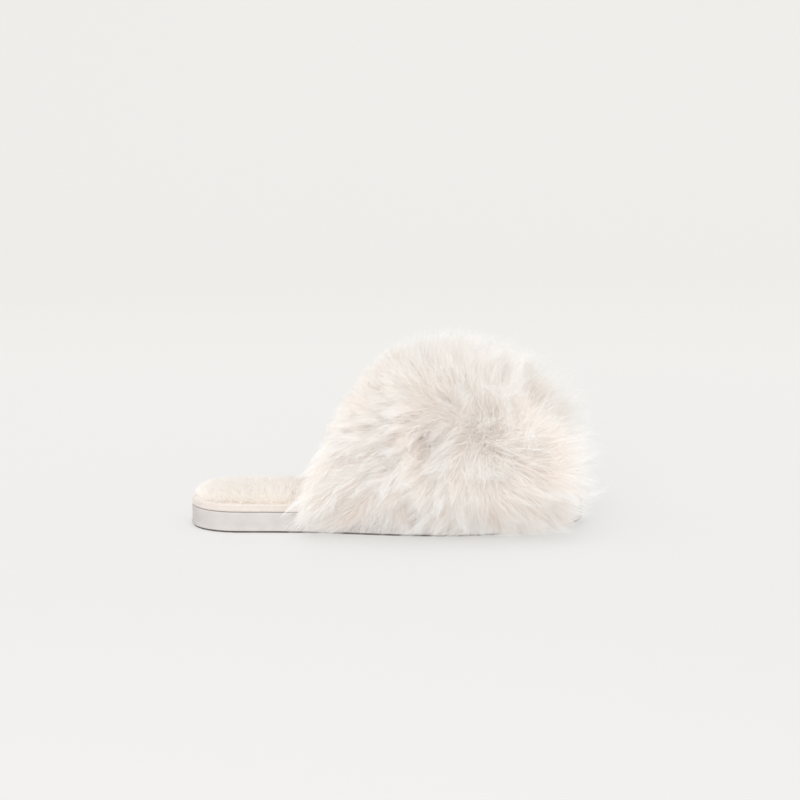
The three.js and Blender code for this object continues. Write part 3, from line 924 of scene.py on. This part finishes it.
def binding():
    """The rolled cloth edge: a C section with a sewn groove and the small puckers of a curve."""
    section = [  # inset from the sole's side, and height
        (5.6, 14.35), (5.6, 13.6), (2.2, 13.6), (0.85, 13.62), (0.35, 13.85), (0.15, 14.6),
        (0.15, 15.7), (0.42, 16.35), (0.42, 16.6), (0.2, 17.05), (0.45, 17.9), (1.1, 18.5),
        (2.1, 18.75), (3.4, 18.7), (4.8, 18.35), (5.7, 17.9), (5.7, 17.5), (3.4, 17.85),
        (2.0, 17.8), (1.4, 17.2), (1.3, 15.6), (1.7, 14.6), (2.4, 14.4),
    ]
    count = BINDING_POINTS
    angle = np.linspace(0, 2 * np.pi, count, endpoint=False)
    pucker = 0.1 * np.sin(67 * angle + 1.5 * np.sin(9 * angle)) + 0.06 * np.sin(143 * angle + 0.7)
    rings = []
    for inset, height in section:
        loop = sole_loop(count, inset)
        sewn = SEWN_GROOVE[0] < height < SEWN_GROOVE[1]
        outer = smooth(-inset, -2.5, -0.4) * (0.35 if sewn else 1.0)
        centre = np.column_stack([loop[:, 0], centre_at(loop[:, 0])])
        away = unit(loop - centre)
        loop = loop + away * (outer * pucker)[:, None]
        z = height + spring_at(loop[:, 0]) + 0.35 * outer * pucker
        rings.append(np.column_stack([loop, z]))
    faces = ring_faces(len(rings), count)
    last = (len(rings) - 1) * count
    faces += [(last + i, last + (i + 1) % count, (i + 1) % count, i) for i in range(count)]
    points = np.concatenate(rings)
    piece = surface_piece("footbed_binding_roll", points, faces, binding_material())
    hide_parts("footbed_binding")


PLUSH_GRID = (120, 36)  # points along and across the plush cover
PLUSH_INSET = 5.2  # of its rim from the sole's side
PLUSH_EDGE = 19.0  # height that its crown rises from
PLUSH_CROWN = 3.2
PLUSH_CLOTH = 1.2  # its least thickness
PLUSH_ROUND = (2.0, 3.0)  # height and width of its rounded rim
PLUSH_HAIRS = 110000
PLUSH_LENGTHS = (5.2, 7.6)
PLUSH_WIDTHS = (0.22, 0.36)
TUFT_HAIRS = 22  # in a tuft of the plush, and how far it is drawn together
TUFT_STRENGTH = 0.38
PLUSH_SWELL = 1.2  # the most that its stuffing pushes it up
SWELL_PRESSURE = 4.0
SWELL_FRAMES = 20


def plush_height(x, from_edge):
    """Top of the plush cover's cloth above the floor."""
    crown = smooth(from_edge, CROWN_START, CROWN_END)
    return PLUSH_EDGE + PLUSH_CROWN * crown + spring_at(x)


def plush_point(u, v):
    """A point of the plush cover's top before it swells: u from the heel, v from lateral."""
    drop, width = PLUSH_ROUND
    inset = np.full_like(u, PLUSH_INSET)
    lateral = inset_point(u, np.full_like(u, -1.0), inset)
    medial = inset_point(u, np.full_like(u, 1.0), inset)
    spot = mix(lateral, medial, v[..., None])
    across = np.minimum(v, 1 - v) * np.linalg.norm(medial - lateral, axis=-1)
    along = np.minimum(spot[..., 0], SOLE_LENGTH - spot[..., 0])
    edge = np.minimum(across + PLUSH_INSET, along)
    round_edge = np.sqrt(np.clip((edge - PLUSH_INSET) / width, 0, 1))
    z = plush_height(spot[..., 0], edge) - drop * (1 - round_edge)
    return np.concatenate([spot, z[..., None]], -1)


def swell(piece, held, cap):
    """Swells a piece by a short cloth simulation; held vertices stay, others move up to cap."""
    vertices = piece.data.vertices
    start = np.empty(3 * len(vertices))
    vertices.foreach_get("co", start)
    end = start.copy()
    piece.vertex_groups.new(name="held").add(held, 1.0, "REPLACE")
    cloth = piece.modifiers.new("swelling", "CLOTH")
    cloth.settings.vertex_group_mass = "held"
    cloth.settings.use_pressure = True
    cloth.settings.uniform_pressure_force = SWELL_PRESSURE
    cloth.settings.effector_weights.gravity = 0
    cloth.point_cache.frame_end = SWELL_FRAMES
    for number in range(1, SWELL_FRAMES + 1):
        bpy.context.scene.frame_set(number)
    swollen = piece.evaluated_get(bpy.context.evaluated_depsgraph_get())
    swollen.data.vertices.foreach_get("co", end)
    piece.modifiers.remove(cloth)
    bpy.context.scene.frame_set(1)
    moves = (end - start).reshape(-1, 3) / MM
    size = np.linalg.norm(moves, axis=1, keepdims=True)
    moves *= np.minimum(1, cap / np.maximum(size, 1e-9))
    vertices.foreach_set("co", start + moves.ravel() * MM)
    piece.data.update()
    return moves


def footbed():
    """The plush cover: a crowned cushion of cloth; returns how far each grid point has swollen."""
    cloth = cloth_material("footbed_cloth", srgb(255, 247, 238), srgb(255, 251, 245))
    nu, nv = PLUSH_GRID
    u, v = np.meshgrid(np.linspace(0, 1, nu), np.linspace(0, 1, nv), indexing="ij")
    top = plush_point(u.ravel(), v.ravel())
    under_side = top.copy()
    under_side[:, 2] = np.minimum(top[:, 2] - PLUSH_CLOTH, PLUSH_BOTTOM + spring_at(top[:, 0]))
    faces = []
    grid = np.arange(nu * nv).reshape(nu, nv)
    low = grid + nu * nv
    for i in range(nu - 1):
        for j in range(nv - 1):
            faces.append((grid[i, j], grid[i + 1, j], grid[i + 1, j + 1], grid[i, j + 1]))
            faces.append((low[i, j], low[i, j + 1], low[i + 1, j + 1], low[i + 1, j]))
    rim = list(grid[:, 0]) + list(grid[-1, 1:]) + list(grid[-2::-1, -1]) + list(grid[0, -2:0:-1])
    for a, b in zip(rim, rim[1:] + rim[:1]):
        faces.append((a, a + nu * nv, b + nu * nv, b))
    faces = [tuple(int(i) for i in face) for face in faces]
    piece = surface_piece("footbed_plush_cloth", np.concatenate([top, under_side]), faces, cloth)
    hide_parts("footbed_plush_cover")
    held = sorted({int(i) for i in rim} | set(range(nu * nv, 2 * nu * nv)))
    return swell(piece, held, PLUSH_SWELL)[:nu * nv].reshape(nu, nv, 3)


def swollen_point(u, v, moves):
    """A point of the plush cover's top after it has swollen."""
    row, column = u * (PLUSH_GRID[0] - 1), v * (PLUSH_GRID[1] - 1)
    i = np.minimum(row.astype(int), PLUSH_GRID[0] - 2)
    j = np.minimum(column.astype(int), PLUSH_GRID[1] - 2)
    along, across = (row - i)[:, None], (column - j)[:, None]
    near = mix(moves[i, j], moves[i, j + 1], across)
    far = mix(moves[i + 1, j], moves[i + 1, j + 1], across)
    return plush_point(u, v) + mix(near, far, along)


def plush_pile(moves):
    """Short dense hair on the swollen cover, in small tufts that drift in all directions."""
    rng = np.random.default_rng(31)
    count = PLUSH_HAIRS
    u = np.arccos(1 - 2 * rng.random(count)) / np.pi
    v = rng.random(count)
    half = half_width_at(SOLE_LENGTH * (1 - np.cos(np.pi * u)) / 2)
    keep = rng.random(count) < half / BALL_HALF_WIDTH
    u, v = u[keep], v[keep]
    roots = swollen_point(u, v, moves)
    step = 0.01
    ahead, behind = (u + step).clip(0, 1), (u - step).clip(0, 1)
    medial, lateral = (v + step).clip(0, 1), (v - step).clip(0, 1)
    du = swollen_point(ahead, v, moves) - swollen_point(behind, v, moves)
    dv = swollen_point(u, medial, moves) - swollen_point(u, lateral, moves)
    normal = unit(np.cross(du, dv))
    side = (v - 0.5) * 2
    outward = unit(dv) * (np.sign(side) * np.abs(side) ** 6 * 0.9)[:, None]
    drift = np.stack([np.sin(roots[:, 1] / 7.0 + roots[:, 0] / 23), np.cos(roots[:, 0] / 9.0)], -1)
    comb = np.column_stack([0.35 * drift, np.zeros(len(u))]) + rng.normal(0, 0.3, (len(u), 3))
    first = unit(normal + 0.3 * comb + 0.5 * outward)
    last = unit(normal + comb + outward)
    lengths = rng.uniform(*PLUSH_LENGTHS, len(u))
    curves = bend(roots, first, last, lengths, 3, np.full(len(u), 0.1), 0.1, rng)
    centres = roots[rng.choice(len(roots), len(roots) // TUFT_HAIRS, replace=False)]
    number = nearest(roots, centres)
    pick = nearest(centres, roots)
    curves = gather(curves, curves[pick], number, np.full(len(u), TUFT_STRENGTH), 1.2)
    tones = (0.45 * rng.random(len(centres))[number] + 0.55 * rng.random(len(u))).clip(0, 0.999)
    material = hair_material(
        "footbed_plush", srgb(255, 254, 253), srgb(255, 255, 254), srgb(255, 255, 255),
        srgb(255, 254, 253), 0.5, (0.0, 0.4, 0.9),
    )
    widths = rng.uniform(*PLUSH_WIDTHS, len(u))
    shape = (curves, normal, widths, tones)
    for piece in ribbon_pieces("footbed_plush_pile", *shape, material, rng, 1.0):
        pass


def carried_over():
    """Materials for the CAD nodes that stay as they are."""
    for node, material in (
        ("outsole", rubber_material()),
        ("insole_board", board_material()),
        ("footbed_foam", sponge_material()),
    ):
        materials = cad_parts[node].data.materials
        materials.clear()
        materials.append(material)


# ---- the studio, in metres and watts ----

PAPER_GLOW = 0.5  # painted light: the paper glows of its own, which keeps the shadow on it faint
SWEEP_BEND = 0.8
WORLD_LIGHT = 0.86
DIFFUSE_BOUNCES = 12  # light goes from hair to hair many times in pale fur
LAMPS = (  # name, place, target, size, power
    ("key_light", (-0.7, -1.5, 1.6), (0, 0, 0.05), 1.4, 6),
    ("front_light", (-0.3, -2.1, 0.45), (0, 0, 0.05), 1.6, 24),
    ("top_light", (-0.1, -0.1, 2.2), (0, 0, 0), 1.8, 11),
    ("back_light", (1.3, 1.3, 0.9), (0.05, 0, 0.06), 1.2, 1),
)
LENS = 105.0  # millimetres, like the sensor and the aim
SENSOR = 36.0
AIM = (135.8, 0.0, 81.0)
VIEW_WIDTH = 0.5208  # that the camera sees at its aim
ELEVATION = math.radians(10.0)


def backdrop():
    """A pale seamless sweep that glows a little of its own, painted light: a floor that bends up
    into a wall behind and one on the left.
    """
    paper = Shader("studio_paper", roughness=0.9)
    parts = paper.add("ShaderNodeSeparateXYZ")
    paper.join(paper.place(), parts.inputs["Vector"])
    fade = paper.add("ShaderNodeMapRange")
    fade.inputs["From Min"].default_value = -0.2
    fade.inputs["From Max"].default_value = 0.7
    paper.join(parts.outputs["Y"], fade.inputs["Value"])
    tones = [(0.0, srgb(144, 144, 145)), (1.0, srgb(153, 153, 152))]
    paper.colour(paper.ramp(fade.outputs["Result"], tones))
    # painted light: the paper glows of its own, so the shadows cast on it stay faint
    paper.base.inputs["Emission Color"].default_value = srgb(255, 253, 250)
    paper.base.inputs["Emission Strength"].default_value = PAPER_GLOW
    bow = [(math.sin(a), 1 - math.cos(a)) for a in np.linspace(0, math.pi / 2, 16)]
    back = [(-3.0, 0.0)]
    back += [(1.2 + SWEEP_BEND * out, SWEEP_BEND * up) for out, up in bow] + [(2.0, 3.0)]
    left = [(-3.4, 3.0)]
    left += [(-2.6 - SWEEP_BEND * out, SWEEP_BEND * up) for out, up in reversed(bow)]
    left += [(4.0, 0.0)]
    points = [(x, y, rise + lift) for y, rise in back for x, lift in left]
    wide = len(left)
    faces = []
    for i in range(len(back) - 1):
        for j in range(wide - 1):
            corner = i * wide + j
            faces.append((corner, corner + 1, corner + 1 + wide, corner + wide))
    mesh = bpy.data.meshes.new("studio_sweep")
    mesh.from_pydata(points, [], faces)
    mesh.polygons.foreach_set("use_smooth", [True] * len(faces))
    mesh.materials.append(paper.material)
    sweep = bpy.data.objects.new("studio_sweep", mesh)
    bpy.context.scene.collection.objects.link(sweep)


def soft_light(name, place, target, size, power):
    data = bpy.data.lights.new(name, "AREA")
    data.shape = "DISK"
    data.size = size
    data.energy = power
    lamp = bpy.data.objects.new(name, data)
    lamp.location = place
    lamp.rotation_mode = "QUATERNION"
    lamp.rotation_quaternion = (Vector(target) - Vector(place)).to_track_quat("-Z", "Y")
    bpy.context.scene.collection.objects.link(lamp)


def studio():
    """Backdrop, an even light from all round, and wide soft lamps in front and above."""
    backdrop()
    world = bpy.data.worlds.new("studio")
    bpy.context.scene.world = world
    world.use_nodes = True
    world.node_tree.nodes["Background"].inputs["Color"].default_value = (1.0, 1.0, 1.0, 1)
    world.node_tree.nodes["Background"].inputs["Strength"].default_value = WORLD_LIGHT
    for lamp in LAMPS:
        soft_light(*lamp)
    bpy.context.scene.view_settings.view_transform = "Standard"
    bpy.context.scene.cycles.diffuse_bounces = DIFFUSE_BOUNCES


def camera():
    """A long lens on the lateral side, a little above the slipper."""
    distance = VIEW_WIDTH * LENS / SENSOR
    aim = Vector(to_row([AIM])[0])
    back = Vector((0.0, -math.cos(ELEVATION), math.sin(ELEVATION)))
    data = bpy.data.cameras.new("camera")
    data.lens = LENS
    data.sensor_width = SENSOR
    data.clip_start, data.clip_end = 0.05, 30.0
    eye = bpy.data.objects.new("camera", data)
    eye.location = aim + back * distance
    eye.rotation_mode = "QUATERNION"
    eye.rotation_quaternion = (-back).to_track_quat("-Z", "Y")
    bpy.context.scene.collection.objects.link(eye)
    bpy.context.scene.camera = eye


# ---- the whole ----

camera()
studio()
carried_over()
midsole()
binding()
plush_pile(footbed())
straps()
long_fur()
